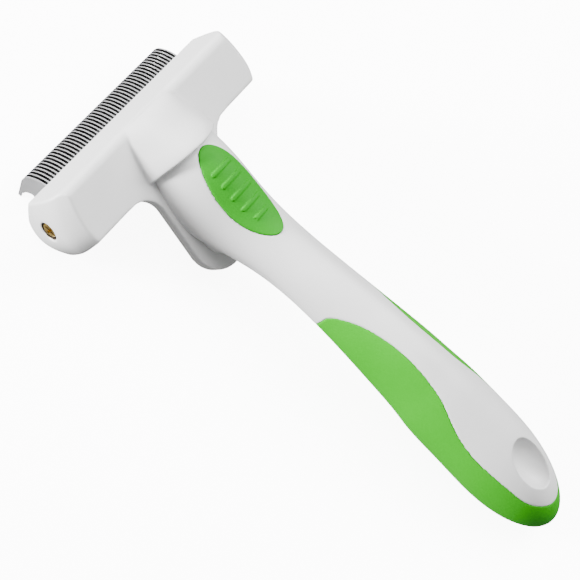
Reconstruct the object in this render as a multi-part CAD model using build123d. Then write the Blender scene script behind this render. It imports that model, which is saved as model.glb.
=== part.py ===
from build123d import *
import os
from math import cos, radians, sin, sqrt

# A deshedding tool for dogs and cats: a wide head with a toothed steel blade, on a curved handle.
#
# Every piece is drawn in the tool frame, in millimetres: X forwards along the handle, Y across,
# Z up, with the origin at the middle of the line where the blade leaves the front face.
# The last step tilts and lifts the whole tool to rest on its teeth and on the belly of the grip.
#
# The head is drawn in head coordinates: p runs forwards along its flat top face and q upwards
# along its front face. The head is pitched nose-up against the handle.

os.makedirs("parts", exist_ok=True)

# ---- Driving dimensions -------------------------------------------------------------------
# Pose
HEAD_PITCH = 19.0            # degrees, nose-up
REST_TILT = 7.48             # degrees, nose-up, that lays the grip on the table
REST_SHIFT = (90.03, 0, 16.2)  # then moves the origin to the middle of the footprint, on the table

# Blade
TOOTH_COUNT = 48
TOOTH_PITCH = 1.41
GAP_WIDTH = 0.8
BLADE_LENGTH = TOOTH_PITCH * TOOTH_COUNT - GAP_WIDTH
BLADE_ROOT_TOP = 8.0         # height of the blade's root inside the head

# Head housing
HEAD_HALF = 45.2             # from the middle plane to the crown of the domed ends
END_CROWN = (-12.5, 10.0)    # where on the ends that crown is, in head coordinates
END_FALL_P = (2.3, 3.4)      # fall of the domed ends to the front and to the back of the head
END_FALL_Q = (4.1, 4.1)      # and to the top and to the bottom of it
FACE_HEIGHT = 17.8           # front face, from the blade slot to the ridge
FACE_LEAN = 0.9              # how far the ridge stands ahead of the slot
TOP_DEPTH = 19.0             # flat top, from the ridge to the rear edge
BARREL = (-11.4, 0.3)        # centre of the round back and end arms
BARREL_RADIUS = 9.9
BAY_HALF = 34.0              # half the distance between the end arms
HOLLOW_FRONT = -2.7          # the hollow behind the front face: front, back and roof
HOLLOW_BACK = -16.2
HOLLOW_ROOF = 15.4
REAR_ROUND = 1.2
RIDGE_ROUND = 2.6

# Tongue under the neck, a flat continuation of the top face
TONGUE_HALF = 15.4
TONGUE_END = -56.0
TONGUE_THICK = 4.2
TONGUE_BLEND = 8.5           # concave corner between the tongue and the bar
TONGUE_ROUND = 11.0          # corners of the tongue's free end
FLANGE = 3.4                 # rim of tongue left showing behind the neck's foot
FOOT_FRONT = -28.0
FOOT_HALF = 10.9

# Hood over the neck: x, half width, height of the spring line, height of the crown
HOOD_SECTIONS = [
    (-4.9, 12.6, 13.5, 17.1),
    (-6.4, 12.8, 13.3, 19.0),
    (-9.2, 13.2, 12.9, 21.0),
    (-14.0, 13.9, 12.2, 22.9),
    (-27.0, 14.9, 8.2, 26.2),
]
HOOD_REAR = -23.9            # the rim at the middle; seen from above it is an arc
HOOD_REAR_RADIUS = 58.0
SOCKET_FRONT = -10.0         # the neck goes into the hood as far as this
SOCKET_GAP = 0.5

# Handle, egg-shaped across: x, height of the widest place, half width, rise above it, drop below it
HANDLE_SECTIONS = [
    (-11.0, 14.0, 11.6, 5.4, 5.4),
    (-27.0, 9.2, 13.3, 14.9, 10.0),
    (-44.0, 8.0, 13.1, 14.6, 10.0),
    (-61.0, 13.3, 10.8, 9.0, 9.0),
    (-77.0, 16.2, 10.1, 9.8, 8.3),
    (-93.0, 17.5, 10.7, 12.0, 8.5),
    (-109.0, 18.2, 11.7, 14.3, 9.7),
    (-125.0, 18.4, 12.95, 15.3, 10.9),
    (-141.0, 18.1, 14.0, 15.4, 11.9),
    (-155.0, 17.7, 14.2, 15.0, 12.0),
]
BUTT_START = -155.0          # behind this the handle closes along a quarter ellipse
BUTT_END = -187.0
BUTT_DROP = 2.3              # how far the centre line falls over the butt
BUTT_STATIONS = (0.35, 0.62, 0.82, 0.94, 0.99)
GRIP_THICK = 2.2
SHELL_THICK = 2.4
GRIP_FRONT = -87.7           # front edge of the grip on the underside
SHELL_FRONT = -94.0

# White window in the top of the grip: x and half width
WINDOW = [(-85.6, 11.8), (-87.2, 10.0), (-91.1, 8.3), (-95.6, 7.0), (-101.0, 6.1), (-110.0, 5.5),
          (-119.0, 6.0), (-124.0, 6.6), (-129.0, 7.5), (-133.4, 8.7), (-138.0, 9.9), (-147.0, 11.2),
          (-157.0, 11.1), (-167.0, 9.8), (-175.0, 7.2)]
WINDOW_END = -180.3

# Thumb pad and thumb recess, both centred on the top of the handle
PAD_X = -42.2
PAD_HALF_LENGTH = 17.6
PAD_HALF_WIDTH = 7.7
PAD_SINK = 1.6               # depth of its pocket in the neck
PAD_PROUD = 0.3
RIB_COUNT = 5
RIB_PITCH = 4.6
RIB_WIDTH = 1.3
RIB_PROUD = 0.35
RECESS_X = -165.2
RECESS_HALF_LENGTH = 9.6
RECESS_HALF_WIDTH = 6.1
RECESS_DEPTH = 5.5
RECESS_SLOPE = 8.0           # degrees, how the top falls towards the butt there
RECESS_WALL = 2.0

# Blade carrier behind the blade's root, in head coordinates
CARRIER_FRONT = -5.4
CARRIER_BACK = -15.6
CARRIER_LOW = -5.8
CARRIER_HIGH = 9.5
CARRIER_HALF = 33.7
COVER_FRONT = 1.6            # wall of the base cover between the carrier and the blade
CARRIER_POCKETS = (-12.0, 12.0)

# Fasteners: radii and lengths
END_SCREW_AXIS = (-9.3, 4.4)
END_SCREW = dict(head_r=2.75, head_h=1.9, shank_r=1.5, length=15.0)
END_SCREW_SEAT = 42.0        # where the head bears, from the middle plane
INSERT_RADIUS = 2.5
INSERT_LENGTH = 8.0
BLADE_SCREW = dict(head_r=2.1, head_h=1.4, shank_r=1.2, length=9.0)
BLADE_SCREW_Y = (-21.0, 0.0, 21.0)
BLADE_SCREW_Q = 4.6
COVER_SCREW = dict(head_r=2.0, head_h=1.3, shank_r=1.1, length=10.0)
COVER_SCREW_Y = (-26.0, -9.0, 9.0, 26.0)
COVER_SCREW_SEAT = (-18.0, -3.0)
NECK_SCREW = dict(head_r=2.7, head_h=1.6, shank_r=1.4, length=12.0)
NECK_SCREW_P = (-34.0, -47.0)
SHELL_SCREW = dict(head_r=2.4, head_h=1.4, shank_r=1.3, length=13.0)
SHELL_SCREW_X = (-106.0, -141.0)
SHELL_SCREW_DROP = 5.0       # from the handle's centre line down to where the head bears
POST_RADIUS = 3.6            # posts round the shell screws
COUNTERBORE = 14.0           # long enough to reach the open side
SLACK = 0.15                 # clearance round a shank and between fitted pieces
HEAD_SLACK = 0.3             # clearance round a screw's head

HEAD_P = (cos(radians(HEAD_PITCH)), 0, sin(radians(HEAD_PITCH)))
HEAD_Q = (-sin(radians(HEAD_PITCH)), 0, cos(radians(HEAD_PITCH)))
HEAD_SIDE = Plane(origin=(0, 0, 0), x_dir=HEAD_P, z_dir=(0, -1, 0))
HEAD_PLAN = Plane(origin=(0, 0, 0), x_dir=HEAD_P, z_dir=HEAD_Q)
HEAD_TOP = Plane(origin=(FACE_HEIGHT * HEAD_Q[0], 0, FACE_HEIGHT * HEAD_Q[2]), x_dir=HEAD_P, z_dir=HEAD_Q)


# ---- Shared shapes --------------------------------------------------------------------------
def head_point(p, y, q):
    """A point given in head coordinates, in the tool frame."""
    return (p * HEAD_P[0] + q * HEAD_Q[0], y, p * HEAD_P[2] + q * HEAD_Q[2])


def head_prism(outline, half):
    """A side outline in head coordinates, drawn out to both sides of the middle plane."""
    return extrude(HEAD_SIDE * outline, amount=half, both=True)


def head_block(p0, p1, q0, q1, half):
    """A block square to the head."""
    return head_prism(make_face(Polyline((p0, q0), (p1, q0), (p1, q1), (p0, q1), close=True)), half)


def rod(start, direction, radius, length):
    """A cylinder that starts at a point and runs along a direction."""
    return extrude(Plane(origin=start, z_dir=direction) * Circle(radius), amount=length)


def pan_screw(start, direction, head_r, head_h, shank_r, length):
    """A screw with a cross recess: its head bears at the start point and its shank runs on."""
    plane = Plane(origin=start, z_dir=direction)
    crown = extrude(plane * Circle(head_r), amount=-head_h)
    crown = fillet(crown.faces().sort_by(Axis(start, direction))[0].edges(), head_h * 0.35)
    recess_plane = plane.offset(-head_h)
    slot = Rectangle(head_r * 1.25, head_r * 0.28) + Rectangle(head_r * 0.28, head_r * 1.25)
    screw = crown + rod(start, direction, shank_r, length)
    return screw - extrude(recess_plane * slot, amount=head_h * 0.7)


def screw_way(start, direction, head_r, head_h, shank_r, length):
    """The room that a screw needs: its counterbore out to the open side, and its hole."""
    back = tuple(-v for v in direction)
    return rod(start, back, head_r + HEAD_SLACK, COUNTERBORE) + rod(start, direction, shank_r, length + SLACK)


def above_head_top(offset=0.0):
    """All the room above the flat top face of the head."""
    return extrude(HEAD_TOP.offset(offset) * Rectangle(500, 200), amount=200)


# ---- Handle ---------------------------------------------------------------------------------
def butt_section(reach):
    """Centre height and sizes at a share of the butt's length, along a quarter ellipse."""
    _, centre, *sizes = HANDLE_SECTIONS[-1]
    share = sqrt(1 - reach * reach)
    return centre - BUTT_DROP * reach, *(size * share for size in sizes)


def egg(x, centre, half_width, rise, drop):
    """One section across the handle."""
    top = EllipticalCenterArc((0, centre), half_width, rise, start_angle=0, arc_size=180)
    bottom = EllipticalCenterArc((0, centre), half_width, drop, start_angle=180, arc_size=180)
    return Plane(origin=(x, 0, 0), x_dir=(0, 1, 0), z_dir=(1, 0, 0)) * make_face(top + bottom)


def handle_form(inset=0.0):
    """The handle's outer form, or the same form set in by a wall."""
    sections = [egg(x, z, *(size - inset for size in sizes)) for x, z, *sizes in HANDLE_SECTIONS]
    length = BUTT_START - BUTT_END - inset
    for reach in BUTT_STATIONS:
        z, *sizes = butt_section(reach)
        wall = inset * sqrt(1 - reach * reach)
        sections.append(egg(BUTT_START - length * reach, z, *(size - wall for size in sizes)))
    return loft(sections)


def upper_room():
    """All the room above the handle's centre line."""
    line = [(x, z) for x, z, *_ in HANDLE_SECTIONS] + [(BUTT_END - 5, HANDLE_SECTIONS[-1][1] - BUTT_DROP)]
    side = Spline(*line) + Polyline(line[-1], (line[-1][0], 80), (line[0][0], 80), line[0])
    return extrude(Plane.XZ * make_face(side), amount=60, both=True)


def window_room():
    """The room over the white window in the grip, open at the neck."""
    other_side = [(x, -half_width) for x, half_width in reversed(WINDOW)]
    edge = Spline(*WINDOW, (WINDOW_END, 0), *other_side)
    outline = make_face(edge + Line(other_side[-1], WINDOW[0]))
    return extrude(outline, amount=60, both=True)


def behind(x):
    """All the room behind a station on the handle."""
    return Pos(x - 150, 0, 0) * Box(300, 200, 200)


def pad_room():
    """The column over the thumb pad."""
    return Pos(PAD_X, 0, 14) * extrude(Ellipse(PAD_HALF_LENGTH, PAD_HALF_WIDTH), amount=30)


def recess_bowl(extra=0.0):
    """The bowl of the thumb recess, or the same bowl with a wall round it."""
    z, _, rise, _ = butt_section((BUTT_START - RECESS_X) / (BUTT_START - BUTT_END))
    bowl = scale(Sphere(1), by=(RECESS_HALF_LENGTH + extra, RECESS_HALF_WIDTH + extra, RECESS_DEPTH + extra))
    return Pos(RECESS_X, 0, z + rise) * Rot(0, -RECESS_SLOPE, 0) * bowl


def handle_height(x):
    """Height of the handle's centre line at a station, straight between its sections."""
    for (x0, z0, *_), (x1, z1, *_) in zip(HANDLE_SECTIONS, HANDLE_SECTIONS[1:]):
        if x1 <= x <= x0:
            return z0 + (z1 - z0) * (x - x0) / (x1 - x0)
    return HANDLE_SECTIONS[-1][1]


def neck_foot():
    """The back of the neck's foot, which stands on the tongue where the handle rises off it."""
    end = TONGUE_END + FLANGE
    outline = RectangleRounded(FOOT_FRONT - end, 2 * FOOT_HALF, FOOT_HALF - 1)
    return extrude(HEAD_TOP * Pos((end + FOOT_FRONT) / 2, 0) * outline, amount=8)


def make_handle():
    outer = handle_form()
    core = handle_form(GRIP_THICK)
    upper = upper_room()
    cavity = handle_form(GRIP_THICK + SHELL_THICK) & behind(SHELL_FRONT - SHELL_THICK)
    cavity -= recess_bowl(RECESS_WALL)
    posts = [Pos(x, 0, 0) * Cylinder(POST_RADIUS, 100) for x in SHELL_SCREW_X]
    cavity -= posts

    grip = ((outer - core) & behind(GRIP_FRONT)) - (window_room() & upper)
    lower_shell = ((core & behind(SHELL_FRONT)) - upper) - cavity
    screws, ways = [], []
    for x in SHELL_SCREW_X:
        seat = (x, 0, handle_height(x) - SHELL_SCREW_DROP)
        screws.append(pan_screw(seat, (0, 0, 1), **SHELL_SCREW))
        ways.append(screw_way(seat, (0, 0, 1), **SHELL_SCREW))
    lower_shell -= ways

    body = (outer + neck_foot()) & above_head_top(0.05)
    body -= (outer - core) & behind(GRIP_FRONT) - (window_room() & upper)
    body -= (core & behind(SHELL_FRONT)) - upper
    body -= cavity
    body -= recess_bowl()
    body -= (handle_form(-1.0) - handle_form(PAD_SINK)) & pad_room()
    body -= ways

    pad = (handle_form(-PAD_PROUD) - handle_form(PAD_SINK)) & pad_room()
    ribs = [Pos(PAD_X + (i - (RIB_COUNT - 1) / 2) * RIB_PITCH, 0, 22)
            * extrude(SlotOverall(2 * PAD_HALF_WIDTH * 0.62, RIB_WIDTH, rotation=90), amount=20)
            for i in range(RIB_COUNT)]
    pad += (handle_form(-PAD_PROUD - RIB_PROUD) - handle_form(0.2)) & ribs[0].fuse(*ribs[1:])
    return body, lower_shell, grip, pad, screws


# ---- Head -----------------------------------------------------------------------------------
def head_outline():
    """Side outline of the head's end arms."""
    p, q = BARREL
    r = BARREL_RADIUS
    ridge = (FACE_LEAN, FACE_HEIGHT)
    rear = (ridge[0] - TOP_DEPTH, FACE_HEIGHT)
    outline = Polyline((0, 0), ridge, rear)
    outline += ThreePointArc(rear, (p - 0.86 * r, q + 0.85 * r), (p - r, q))
    outline += ThreePointArc((p - r, q), (p - 0.707 * r, q - 0.707 * r), (p, q - r))
    outline += ThreePointArc((p, q - r), (p + 0.37 * r, q - 0.86 * r), (p + 0.66 * r, q - 0.56 * r))
    outline += Line((p + 0.66 * r, q - 0.56 * r), (0, 0))
    face = make_face(outline)
    face = fillet(face.vertices().sort_by(Axis.X)[-1], RIDGE_ROUND)
    return fillet([v for v in face.vertices() if abs(v.X - rear[0]) < 0.01], REAR_ROUND)


def end_reach(p, q):
    """How far from the middle plane the domed ends stand at a place on them."""
    crown_p, crown_q = END_CROWN
    front, back = crown_p - FACE_LEAN, crown_p - BARREL[0] + BARREL_RADIUS
    top, bottom = FACE_HEIGHT - crown_q, crown_q - BARREL[1] + BARREL_RADIUS
    fall, length = (END_FALL_P[0], front) if p > crown_p else (END_FALL_P[1], back)
    drop, height = (END_FALL_Q[0], top) if q > crown_q else (END_FALL_Q[1], bottom)
    return HEAD_HALF - fall * ((p - crown_p) / length) ** 2 - drop * ((q - crown_q) / height) ** 2


def domed_room():
    """The room between the head's two domed ends."""
    stations = [[(p, q) for q in range(-12, 23, 2)] for p in range(-24, 5, 2)]
    halves = []
    for side in (-1, 1):
        points = [[head_point(p, side * end_reach(p, q), q) for p, q in row] for row in stations]
        dome = Face.make_surface_from_array_of_points(points)
        halves.append(extrude(dome, amount=HEAD_HALF, dir=(0, -side, 0)))
    return halves[0] + halves[1]


def tongue_plate():
    """The flat plate behind the bar that narrows to the tongue."""
    rear = FACE_LEAN - TOP_DEPTH
    bar = Pos(rear / 2 - 1.5, 0) * Rectangle(-rear - 3.0, 2 * (TONGUE_HALF + TONGUE_BLEND + 1))
    tongue = Pos((TONGUE_END - 8) / 2, 0) * Rectangle(-TONGUE_END - 8, 2 * TONGUE_HALF)
    outline = bar + tongue
    corners = [v for v in outline.vertices() if abs(abs(v.Y) - TONGUE_HALF) < 0.01 and v.X > TONGUE_END + 1]
    outline = fillet(corners, TONGUE_BLEND)
    ends = [v for v in outline.vertices() if v.X < TONGUE_END + 1]
    outline = fillet(ends, TONGUE_ROUND)
    return extrude(HEAD_TOP * outline, amount=-TONGUE_THICK)


def hood():
    """The hood over the neck: arched sections drawn together."""
    faces = []
    for x, half, spring, crown in HOOD_SECTIONS:
        rise = crown - spring
        arch = EllipticalCenterArc((0, spring), half, rise, start_angle=0, arc_size=180)
        foot = Polyline((-half, spring), (-half, 4), (half, 4), (half, spring))
        faces.append(Plane(origin=(x, 0, 0), x_dir=(0, 1, 0), z_dir=(1, 0, 0)) * make_face(arch + foot))
    rim = Pos(HOOD_REAR + HOOD_REAR_RADIUS, 0, 0) * Cylinder(HOOD_REAR_RADIUS, 100)
    return loft(faces) & above_head_top(-1.5) & rim


def end_screw_start(side):
    return head_point(END_SCREW_AXIS[0], side * END_SCREW_SEAT, END_SCREW_AXIS[1])


def cover_screw_start(y):
    p, q = COVER_SCREW_SEAT
    return head_point(p, y, q)


def neck_screw_start(p):
    return head_point(p, 0, FACE_HEIGHT - TONGUE_THICK + 1.7)


def make_housing():
    housing = head_prism(head_outline(), HEAD_HALF) & domed_room()
    housing += tongue_plate()
    housing += hood()
    bay = head_block(-25, 4, -14, 0, BAY_HALF)
    hollow = make_face(Polyline((-0.8, -1), (HOLLOW_FRONT, 4.4), (HOLLOW_FRONT, HOLLOW_ROOF),
                                (HOLLOW_BACK, HOLLOW_ROOF), (HOLLOW_BACK, -1), close=True))
    housing -= bay + head_prism(hollow, BAY_HALF)
    socket = handle_form(-SOCKET_GAP) & above_head_top(0) & behind(SOCKET_FRONT)
    housing -= socket
    for side in (-1, 1):
        inward = (0, -side, 0)
        housing -= screw_way(end_screw_start(side), inward, **END_SCREW)
    for y in COVER_SCREW_Y:
        housing -= rod(cover_screw_start(y), HEAD_Q, COVER_SCREW["shank_r"], COVER_SCREW["length"] + SLACK)
    for p in NECK_SCREW_P:
        housing -= screw_way(neck_screw_start(p), HEAD_Q, **NECK_SCREW)
    return housing


def make_base_cover():
    """The channel that closes the head from below, behind the blade."""
    round_back = head_prism(head_outline(), BAY_HALF - SLACK)
    cover = round_back & head_block(-25, CARRIER_FRONT - SLACK, -14, -SLACK, BAY_HALF)
    room = head_block(CARRIER_BACK - 0.4, CARRIER_FRONT - COVER_FRONT, CARRIER_LOW - 0.8, 1, BAY_HALF)
    cover -= room
    for y in COVER_SCREW_Y:
        cover -= screw_way(cover_screw_start(y), HEAD_Q, **COVER_SCREW)
    return cover


def make_carrier():
    """The bar that holds the blade, with lightening pockets and an insert in each end."""
    low, step = CARRIER_LOW, CARRIER_FRONT - COVER_FRONT - 0.2
    outline = Polyline((CARRIER_FRONT, 0.3), (CARRIER_FRONT, CARRIER_HIGH), (CARRIER_BACK, CARRIER_HIGH),
                       (CARRIER_BACK, low), (step, low), (step, 0.3), close=True)
    carrier = head_prism(make_face(outline), CARRIER_HALF)
    for y in CARRIER_POCKETS:
        pocket = head_block(CARRIER_FRONT - 3, CARRIER_BACK + 2, low - 1, CARRIER_HIGH - 6, 8.5)
        carrier -= Pos(0, y, 0) * pocket
    for side in (-1, 1):
        start = head_point(END_SCREW_AXIS[0], side * (CARRIER_HALF + 1), END_SCREW_AXIS[1])
        carrier -= rod(start, (0, -side, 0), INSERT_RADIUS, INSERT_LENGTH + 1)
        carrier -= rod(start, (0, -side, 0), END_SCREW["shank_r"] + SLACK, 10)
    for start in blade_screw_starts():
        carrier -= screw_way(start, HEAD_P, **BLADE_SCREW)
    return carrier


def blade_screw_starts():
    seat = CARRIER_BACK + BLADE_SCREW["head_h"] + 0.4
    return [head_point(seat, y, BLADE_SCREW_Q) for y in BLADE_SCREW_Y]


# ---- Blade ----------------------------------------------------------------------------------
def blade_outline():
    """Side outline of the blade in head coordinates: root, shoulder, hooked tip and hollow."""
    root, tip, shoulder = (-0.5, -0.1), (-1.6, -17.3), (3.7, -6.5)
    outline = Polyline((-5.3, -10.1), (-5.3, BLADE_ROOT_TOP), (-3.1, BLADE_ROOT_TOP), (-3.1, 4.6),
                       (-1.3, -0.1), root)
    outline += ThreePointArc(root, (2.2, -3.1), shoulder)
    outline += ThreePointArc(shoulder, (3.5, -9.1), (2.5, -11.2))
    outline += Polyline((2.5, -11.2), tip, (-2.6, -16.8))
    outline += ThreePointArc((-2.6, -16.8), (-1.4, -13.2), (-2.8, -10.1))
    outline += Line((-2.8, -10.1), (-5.3, -10.1))
    return make_face(outline)


def gap_outline():
    """Side outline of one gap between teeth: shallow up the front, right through at the tip."""
    floor = Polyline((-0.4, -1.0), (0.9, -4.4), (1.2, -7.0), (0.6, -9.6), (-1.0, -12.0), (-6, -12.8),
                     (-6, -20), (7, -20), (7, -1.0), close=True)
    return make_face(floor)


def make_blade():
    blade = head_prism(blade_outline(), BLADE_LENGTH / 2)
    gap = head_prism(gap_outline(), GAP_WIDTH / 2)
    middle = (TOOTH_COUNT - 2) / 2
    blade -= [Pos(0, (i - middle) * TOOTH_PITCH, 0) * gap for i in range(TOOTH_COUNT - 1)]
    for start in blade_screw_starts():
        blade -= rod(start, HEAD_P, BLADE_SCREW["shank_r"], 14)
    return blade


# ---- Fasteners ------------------------------------------------------------------------------
def make_end_screws():
    return [pan_screw(end_screw_start(side), (0, -side, 0), **END_SCREW) for side in (-1, 1)]


def make_end_inserts():
    inserts = []
    for side in (-1, 1):
        start = head_point(END_SCREW_AXIS[0], side * CARRIER_HALF, END_SCREW_AXIS[1])
        insert = rod(start, (0, -side, 0), INSERT_RADIUS, INSERT_LENGTH)
        inserts.append(insert - rod(start, (0, -side, 0), END_SCREW["shank_r"], INSERT_LENGTH))
    return inserts


def make_blade_screws():
    return [pan_screw(start, HEAD_P, **BLADE_SCREW) for start in blade_screw_starts()]


def make_cover_screws():
    return [pan_screw(cover_screw_start(y), HEAD_Q, **COVER_SCREW) for y in COVER_SCREW_Y]


def make_neck_screws():
    return [pan_screw(neck_screw_start(p), HEAD_Q, **NECK_SCREW) for p in NECK_SCREW_P]


# ---- Assembly -------------------------------------------------------------------------------
def main():
    body, lower_shell, grip, pad, shell_screws = make_handle()
    for p in NECK_SCREW_P:
        body -= rod(neck_screw_start(p), HEAD_Q, NECK_SCREW["shank_r"], NECK_SCREW["length"] + SLACK)
    nodes = {
        "head_housing": [make_housing()],
        "head_base_cover": [make_base_cover()],
        "blade": [make_blade()],
        "blade_carrier": [make_carrier()],
        "blade_screws": make_blade_screws(),
        "end_screws": make_end_screws(),
        "end_inserts": make_end_inserts(),
        "cover_screws": make_cover_screws(),
        "neck_screws": make_neck_screws(),
        "handle_body": [body],
        "handle_lower_shell": [lower_shell],
        "shell_screws": shell_screws,
        "grip_sleeve": [grip],
        "thumb_pad": [pad],
    }
    rest = Pos(*REST_SHIFT) * Rot(0, -REST_TILT, 0)
    for name, pieces in nodes.items():
        solids = [rest * solid for piece in pieces for solid in piece.solids()]
        export_step(Compound(solids), f"parts/{name}.step")


main()
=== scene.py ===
"""Looks for the deshedding tool: moulded plastic, rubber, ground steel and brass, in a pale studio."""
import math

import bpy
from mathutils import Matrix, Vector


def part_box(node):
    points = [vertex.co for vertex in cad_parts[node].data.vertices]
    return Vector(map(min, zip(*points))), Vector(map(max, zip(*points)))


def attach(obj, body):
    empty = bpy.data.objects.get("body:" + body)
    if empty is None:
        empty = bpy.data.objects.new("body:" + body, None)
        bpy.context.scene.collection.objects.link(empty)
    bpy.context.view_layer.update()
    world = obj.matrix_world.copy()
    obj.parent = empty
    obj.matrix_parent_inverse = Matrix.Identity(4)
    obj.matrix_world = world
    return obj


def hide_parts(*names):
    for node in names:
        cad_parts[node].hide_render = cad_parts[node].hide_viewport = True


MM = 0.001

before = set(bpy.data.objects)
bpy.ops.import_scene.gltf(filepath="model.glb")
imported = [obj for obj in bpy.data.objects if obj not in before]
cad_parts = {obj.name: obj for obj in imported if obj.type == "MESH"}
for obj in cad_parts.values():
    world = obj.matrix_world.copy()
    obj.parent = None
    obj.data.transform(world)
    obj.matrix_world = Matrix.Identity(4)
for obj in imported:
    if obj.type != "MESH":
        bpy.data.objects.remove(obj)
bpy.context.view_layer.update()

# ---- Driving values -------------------------------------------------------------------------
# Camera: where it looks from, in degrees, and how far away it stands
CAMERA_AZIMUTH = 175.65
CAMERA_ELEVATION = 59.15
CAMERA_ROLL = 44.85
CAMERA_DISTANCE = 0.4958
CAMERA_TARGET = Vector((0.0139, 0.0047, 0.0156))
CAMERA_SENSOR = 36.0         # mm
CAMERA_LENS = 99.3           # mm
CAMERA_CLIP = (0.01, 20)     # nearest and farthest that it sees, in metres

# Studio, in metres: a floor and a round wall with a coved foot, both lit from within
WORLD_STRENGTH = 0.46
STUDIO_GLOW = 9.0
STUDIO_ROUGH = 0.85
STUDIO_TINT = (6, (0.94, 0.94, 0.94), (0.96, 0.96, 0.96))  # noise scale, darkest and lightest
FLOOR_HALF = 3.0
WALL_RADIUS = 2.9
WALL_COVE = 1.2
WALL_HEIGHT = 3.5
WALL_SIDES = 96
COVE_STEPS = 24

# Lights: name, place, size in metres and power, all turned to one point
LIT_POINT = Vector((0, 0, 0.02))
LIGHTS = [
    ("key", (1.58, 1.00, 0.34), 0.55, 176),
    ("front", (0.45, 0.00, 0.90), 0.60, 9),
    ("top", (-0.12, -0.66, 0.86), 0.90, 26),
]

# Moulded pieces: node, finish, voxel in mm, rounds of softening
MOULDED = [
    ("head_housing", "white_abs", 0.3, 24),
    ("head_base_cover", "white_abs", 0.35, 4),
    ("handle_body", "white_abs", 0.25, 8),
    ("grip_sleeve", "grip_green", 0.25, 6),
    ("thumb_pad", "pad_green", 0.18, 6),
]

SMOOTHING = 0.5              # how far a round of softening moves a point towards its neighbours

# CAD nodes that stay as they are, and their finish
CARRIED = {
    "blade": "blade_steel",
    "blade_carrier": "carrier_abs",
    "handle_lower_shell": "carrier_abs",
    "end_screws": "brass",
    "end_inserts": "brass",
    "blade_screws": "zinc_steel",
    "cover_screws": "zinc_steel",
    "neck_screws": "zinc_steel",
    "shell_screws": "zinc_steel",
}

# Finishes: the tint's noise scale, darkest and lightest colour; the sheen's noise scale,
# lowest and highest roughness; the grain's noise scale, strength and depth in mm
FINISHES = {
    "white_abs": ((60, (0.61, 0.61, 0.61), (0.65, 0.65, 0.65)), (400, 0.36, 0.46), (2600, 0.06, 0.04)),
    "grip_green": ((45, (0.022, 0.285, 0.004), (0.027, 0.31, 0.006)), (700, 0.50, 0.61), (3200, 0.16, 0.05)),
    "pad_green": ((45, (0.014, 0.225, 0.006), (0.018, 0.245, 0.008)), (700, 0.50, 0.61), (3200, 0.16, 0.05)),
    "brass": ((900, (0.50, 0.33, 0.07), (0.85, 0.62, 0.20)), (1500, 0.18, 0.36), (5000, 0.08, 0.02)),
    "zinc_steel": ((900, (0.55, 0.56, 0.58), (0.72, 0.73, 0.74)), (1500, 0.18, 0.36), (5000, 0.08, 0.02)),
    "carrier_abs": ((80, (0.60, 0.60, 0.60), (0.66, 0.66, 0.66)), (500, 0.50, 0.62), (2200, 0.10, 0.05)),
}
PLASTIC_IOR = 1.5
RUBBER_IOR = 1.3
RUBBER_SPECULAR = 0.2

# Blade steel: stretch of the grinding lines, darkest and lightest colour, lowest and highest
# roughness, how metallic it is, and the strength and depth in mm of the lines
GRINDING = (9000, 120, 9000)
STEEL_TINT = ((0.38, 0.38, 0.39), (0.54, 0.54, 0.55))
STEEL_ROUGH = (0.42, 0.56)
STEEL_METALLIC = 0.75
STEEL_LINES = (0.12, 0.03)

# The part of a noise's range that a tint is spread over
NOISE_LOW = 0.3
NOISE_HIGH = 0.7

# Painted shade, in mm, and its colours: the gaps between the teeth and the end screws' holes are coloured
# dark where shade falls in them. Both run 0.07 mm past the wall of the gap or hole, and the strips over the
# gaps run over the whole blade, also where a gap doesn't go through.
TOOTH_PITCH = 1.41
GAP_SHADE_SHARE = 0.33             # half a painted shade strip's width, as a share of the pitch; half a gap is 0.28
TOOTHED_HALF = 23.4 * TOOTH_PITCH  # beyond the last gap only the blade's plain end is left
HOLE_SHADE_RADIUS = 3.12           # an end screw's counterbore is 3.05
HOLE_SHADE_START = 36.0            # the holes are painted with shade from this far out of the middle plane
# painted shade colours: near-black over the gaps between the teeth, dark brown in the end screws' holes
GAP_PAINTED_SHADE = (0.008, 0.008, 0.008)
HOLE_PAINTED_SHADE = (0.02, 0.015, 0.01)


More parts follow.
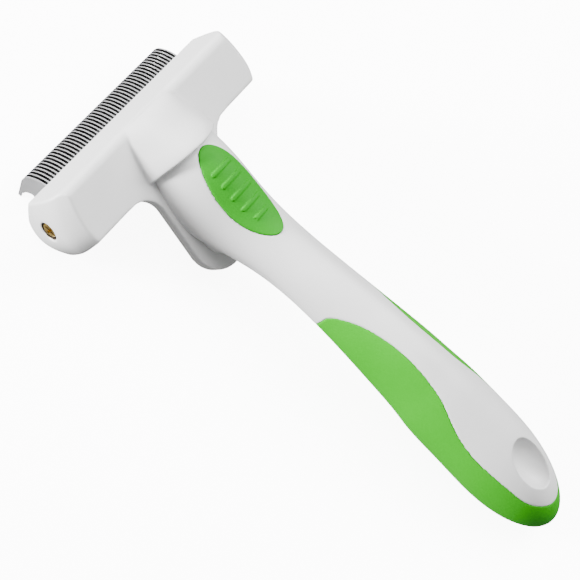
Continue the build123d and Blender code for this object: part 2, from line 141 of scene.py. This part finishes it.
# ---- Material helpers -----------------------------------------------------------------------
class Nodes:
    """A small helper that adds shader nodes to a material and links them."""

    def __init__(self, name):
        self.material = bpy.data.materials.new(name)
        self.material.use_nodes = True
        self.tree = self.material.node_tree
        self.shader = self.tree.nodes["Principled BSDF"]
        self.coords = self.tree.nodes.new("ShaderNodeTexCoord").outputs["Object"]

    def add(self, kind, inputs=(), **settings):
        node = self.tree.nodes.new(kind)
        for key, value in settings.items():
            setattr(node, key, value)
        for key, value in dict(inputs).items():
            if isinstance(value, bpy.types.NodeSocket):
                self.tree.links.new(value, node.inputs[key])
            else:
                node.inputs[key].default_value = value
        return node

    def noise(self, scale, detail=4.0, rough=0.55, coords=None):
        inputs = {"Vector": coords or self.coords, "Scale": scale, "Detail": detail, "Roughness": rough}
        return self.add("ShaderNodeTexNoise", inputs).outputs["Fac"]

    def stretch(self, x, y, z):
        inputs = {"Vector": self.coords, "Scale": (x, y, z)}
        return self.add("ShaderNodeMapping", inputs).outputs["Vector"]

    def ramp(self, fac, low, high):
        node = self.add("ShaderNodeValToRGB", {"Fac": fac})
        first, last = node.color_ramp.elements
        first.position, first.color = NOISE_LOW, (*low, 1.0)
        last.position, last.color = NOISE_HIGH, (*high, 1.0)
        return node.outputs["Color"]

    def span(self, fac, low, high):
        inputs = {"Value": fac, "To Min": low, "To Max": high}
        return self.add("ShaderNodeMapRange", inputs).outputs["Result"]

    def bump(self, height, strength, distance):
        inputs = {"Height": height, "Strength": strength, "Distance": distance}
        return self.add("ShaderNodeBump", inputs).outputs["Normal"]

    def maths(self, operation, a, b=0.0):
        return self.add("ShaderNodeMath", {0: a, 1: b}, operation=operation).outputs[0]

    def mix(self, fac, low, high):
        node = self.add("ShaderNodeMix", {0: fac}, data_type="RGBA")
        for socket, value in ((6, low), (7, high)):
            if isinstance(value, bpy.types.NodeSocket):
                self.tree.links.new(value, node.inputs[socket])
            else:
                node.inputs[socket].default_value = (*value, 1.0)
        return node.outputs[2]

    def link(self, socket, value):
        if isinstance(value, bpy.types.NodeSocket):
            self.tree.links.new(value, self.shader.inputs[socket])
        else:
            self.shader.inputs[socket].default_value = value


def surface(name):
    """A new material with the tint, sheen and grain of its row in the table of finishes."""
    n = Nodes(name)
    tint, rough, grain = FINISHES[name]
    tint_scale, darkest, lightest = tint
    rough_scale, smoothest, roughest = rough
    grain_scale, strength, depth = grain
    colour = n.ramp(n.noise(tint_scale), darkest, lightest)
    n.link("Base Color", colour)
    n.link("Roughness", n.span(n.noise(rough_scale, 3), smoothest, roughest))
    n.link("Normal", n.bump(n.noise(grain_scale, 2), strength, depth * MM))
    return n, colour


def moulded_white():
    """Satin white plastic, with shade painted dark in the end screws' holes and just past their walls."""
    n, skin = surface("white_abs")
    low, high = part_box("end_screws")
    hole = (low + high) / 2
    spot = n.add("ShaderNodeSeparateXYZ", {0: n.coords}).outputs
    flat = n.add("ShaderNodeCombineXYZ", {"X": spot["X"], "Z": spot["Z"]}).outputs[0]
    away = n.add("ShaderNodeVectorMath", {0: flat, 1: (hole.x, 0, hole.z)}, operation="DISTANCE")
    # painted shade: the end screws' holes are coloured dark where shade falls in them
    inside = n.maths("LESS_THAN", away.outputs["Value"], HOLE_SHADE_RADIUS * MM)
    outward = n.maths("GREATER_THAN", n.maths("ABSOLUTE", spot["Y"]), HOLE_SHADE_START * MM)
    n.link("Base Color", n.mix(n.maths("MULTIPLY", inside, outward), skin, HOLE_PAINTED_SHADE))
    n.link("IOR", PLASTIC_IOR)
    return n.material


def rubber(name):
    """Soft-touch rubber: a matt surface with little gloss."""
    n, _ = surface(name)
    n.link("IOR", RUBBER_IOR)
    n.link("Specular IOR Level", RUBBER_SPECULAR)
    return n.material


def ground_steel():
    """Stainless steel with fine grinding lines, with shade painted near-black in strips a little wider than
    the gaps.
    """
    n = Nodes("blade_steel")
    lines = n.noise(1.0, 3, 0.6, n.stretch(*GRINDING))
    across = n.add("ShaderNodeSeparateXYZ", {0: n.coords}).outputs["Y"]
    from_gap = n.maths("PINGPONG", n.maths("DIVIDE", across, TOOTH_PITCH * MM), 0.5)
    toothed = n.maths("LESS_THAN", n.maths("ABSOLUTE", across), TOOTHED_HALF * MM)
    # painted shade: near-black strips over the gaps between the teeth and a little past their walls
    gap = n.maths("MULTIPLY", n.maths("LESS_THAN", from_gap, GAP_SHADE_SHARE), toothed)
    n.link("Base Color", n.mix(gap, n.ramp(lines, *STEEL_TINT), GAP_PAINTED_SHADE))
    n.link("Metallic", STEEL_METALLIC)
    n.link("Roughness", n.span(lines, *STEEL_ROUGH))
    strength, depth = STEEL_LINES
    n.link("Normal", n.bump(lines, strength, depth * MM))
    return n.material


def turned_metal(name):
    """Bright small hardware with a slight tarnish."""
    n, _ = surface(name)
    n.link("Metallic", 1.0)
    return n.material


MATERIALS = {
    "white_abs": moulded_white(),
    "grip_green": rubber("grip_green"),
    "pad_green": rubber("pad_green"),
    "blade_steel": ground_steel(),
    "brass": turned_metal("brass"),
    "zinc_steel": turned_metal("zinc_steel"),
    "carrier_abs": surface("carrier_abs")[0].material,
}


# ---- Pieces ---------------------------------------------------------------------------------
def moulded(node, finish, voxel, rounds):
    """A moulded piece: the CAD solid with its edges softened as a mould leaves them."""
    copy = bpy.data.objects.new(node + "_rough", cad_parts[node].data.copy())
    bpy.context.scene.collection.objects.link(copy)
    remesh = copy.modifiers.new("remesh", "REMESH")
    remesh.mode, remesh.voxel_size, remesh.use_smooth_shade = "VOXEL", voxel * MM, True
    soften = copy.modifiers.new("soften", "SMOOTH")
    soften.factor, soften.iterations = SMOOTHING, rounds
    done = bpy.data.meshes.new_from_object(copy.evaluated_get(bpy.context.evaluated_depsgraph_get()))
    bpy.data.objects.remove(copy)
    piece = bpy.data.objects.new(node + "_moulded", done)
    bpy.context.scene.collection.objects.link(piece)
    done.materials.clear()
    done.materials.append(MATERIALS[finish])
    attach(piece, "root")
    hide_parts(node)


def carried_over(node, finish):
    """A CAD node that stays as it is, with its own finish."""
    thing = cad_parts[node]
    thing.data.materials.clear()
    thing.data.materials.append(MATERIALS[finish])


for row in MOULDED:
    moulded(*row)
for row in CARRIED.items():
    carried_over(*row)


# ---- Studio ---------------------------------------------------------------------------------
def studio_white():
    """Pale matt surface, lit from within."""
    n = Nodes("studio_white")
    scale, darkest, lightest = STUDIO_TINT
    n.link("Base Color", n.ramp(n.noise(scale), darkest, lightest))
    n.link("Roughness", STUDIO_ROUGH)
    n.link("Emission Color", (1.0, 1.0, 1.0, 1.0))
    n.link("Emission Strength", STUDIO_GLOW)
    return n.material


def backdrop(name, points, faces, material):
    """A piece of the studio, which throws no light up into the undersides of the tool."""
    mesh = bpy.data.meshes.new(name)
    mesh.from_pydata(points, [], faces)
    mesh.materials.append(material)
    mesh.shade_smooth()
    thing = bpy.data.objects.new(name, mesh)
    bpy.context.scene.collection.objects.link(thing)
    thing.visible_diffuse = False
    thing.visible_glossy = False
    return thing


def make_floor(material):
    """A flat square floor at the height that the tool rests on."""
    half = FLOOR_HALF
    corners = [(-half, -half, 0), (half, -half, 0), (half, half, 0), (-half, half, 0)]
    backdrop("floor", corners, [(0, 1, 2, 3)], material)


def make_wall(material):
    """A round wall with a coved foot, so that low views end in white all the way round."""
    turns = [0.5 * math.pi * step / COVE_STEPS for step in range(COVE_STEPS + 1)]
    profile = [(WALL_RADIUS - WALL_COVE * (1 - math.sin(t)), WALL_COVE * (1 - math.cos(t))) for t in turns]
    profile.append((WALL_RADIUS, WALL_HEIGHT))
    headings = [2 * math.pi * side / WALL_SIDES for side in range(WALL_SIDES)]
    points = [(r * math.cos(h), r * math.sin(h), z) for r, z in profile for h in headings]
    faces = []
    for ring in range(len(profile) - 1):
        for side in range(WALL_SIDES):
            here, after = ring * WALL_SIDES + side, ring * WALL_SIDES + (side + 1) % WALL_SIDES
            faces.append((here, after, after + WALL_SIDES, here + WALL_SIDES))
    wall = backdrop("wall", points, faces, material)
    wall.visible_shadow = False


def area_light(name, place, size, power):
    """A round white light that faces the tool."""
    light = bpy.data.lights.new(name, "AREA")
    light.shape, light.size, light.energy = "DISK", size, power
    thing = bpy.data.objects.new(name, light)
    thing.location = place
    thing.rotation_mode = "QUATERNION"
    thing.rotation_quaternion = (LIT_POINT - Vector(place)).to_track_quat("-Z", "Y")
    bpy.context.scene.collection.objects.link(thing)


def make_light():
    """White surroundings and the lights of the table above."""
    world = bpy.data.worlds.new("studio")
    world.use_nodes = True
    background = world.node_tree.nodes["Background"]
    background.inputs["Color"].default_value = (1, 1, 1, 1)
    background.inputs["Strength"].default_value = WORLD_STRENGTH
    bpy.context.scene.world = world
    for row in LIGHTS:
        area_light(*row)


def make_camera():
    """The camera, placed by its angles and distance from the point that it looks at."""
    azimuth, elevation = math.radians(CAMERA_AZIMUTH), math.radians(CAMERA_ELEVATION)
    level = math.cos(elevation)
    back = Vector((math.sin(azimuth) * level, -math.cos(azimuth) * level, math.sin(elevation)))
    data = bpy.data.cameras.new("camera")
    data.sensor_width, data.lens = CAMERA_SENSOR, CAMERA_LENS
    data.clip_start, data.clip_end = CAMERA_CLIP
    camera = bpy.data.objects.new("camera", data)
    turn = (-back).to_track_quat("-Z", "Y").to_matrix().to_4x4()
    roll = Matrix.Rotation(math.radians(CAMERA_ROLL), 4, "Z")
    camera.matrix_world = Matrix.Translation(CAMERA_TARGET + back * CAMERA_DISTANCE) @ turn @ roll
    bpy.context.scene.collection.objects.link(camera)
    bpy.context.scene.camera = camera


pale = studio_white()
make_floor(pale)
make_wall(pale)
make_light()
make_camera()
